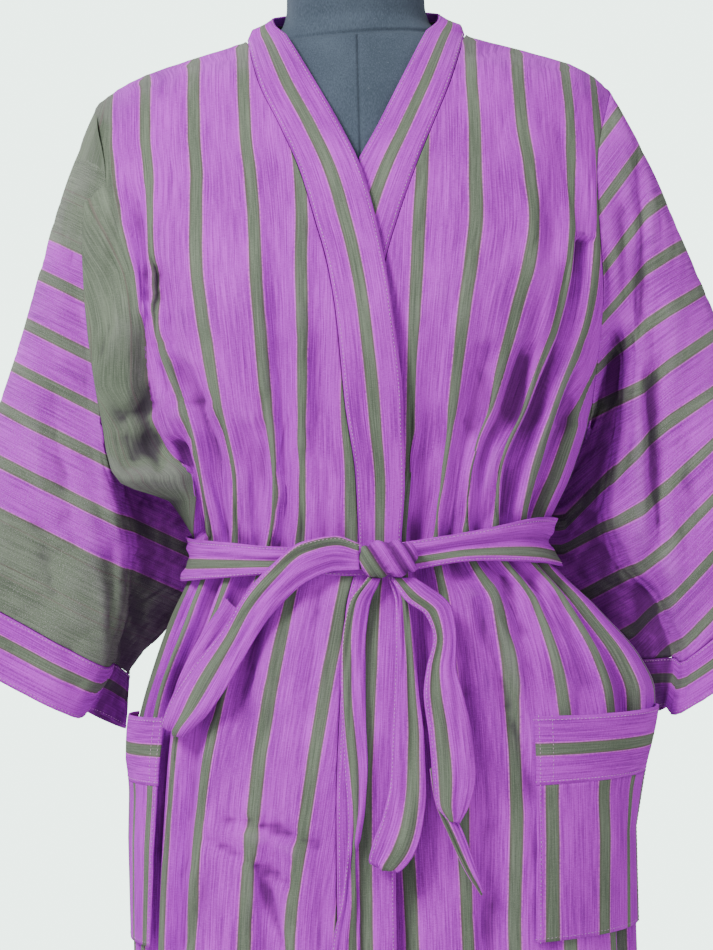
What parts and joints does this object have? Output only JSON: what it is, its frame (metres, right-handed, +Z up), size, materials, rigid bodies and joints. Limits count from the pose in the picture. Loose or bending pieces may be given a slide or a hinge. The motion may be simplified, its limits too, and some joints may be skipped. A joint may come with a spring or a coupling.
{
  "type": "kimono robe on a dress form",
  "caption": "Striped cotton kimono robe with band collar, wide cuffed sleeves, patch pockets and a tied sash, on a dress form.",
  "frame": {"origin": "centre of the stand base's underside", "axes": "+Z up, -Y to the robe's front, +X to the wearer's left"},
  "size_m": [0.8124, 0.38, 1.5403],
  "materials": {
    "purple_cotton": "matt handloom cotton with green stripes",
    "form_cloth": "matt jersey",
    "black_plastic": "satin",
    "stand_steel": "satin black paint"
  },
  "bodies": {
    "root": {"form_torso": "form_cloth", "form_neck_cap": "black_plastic", "stand_pole": "stand_steel", "stand_base": "stand_steel", "back": "purple_cotton", "front_right": "purple_cotton", "front_left": "purple_cotton", "neckband_right": "purple_cotton", "neckband_left": "purple_cotton", "sleeve_right": "purple_cotton", "sleeve_left": "purple_cotton", "cuff_right": "purple_cotton", "cuff_left": "purple_cotton", "pocket_right": "purple_cotton", "pocket_left": "purple_cotton", "pocket_band_right": "purple_cotton", "pocket_band_left": "purple_cotton", "sash_waist": "purple_cotton", "sash_knot": "purple_cotton", "bow_loop_right": "purple_cotton", "bow_tail_right": "purple_cotton", "bow_loop_middle": "purple_cotton", "bow_loop_left": "purple_cotton", "bow_tail_left": "purple_cotton"}
  },
  "joints": []
}
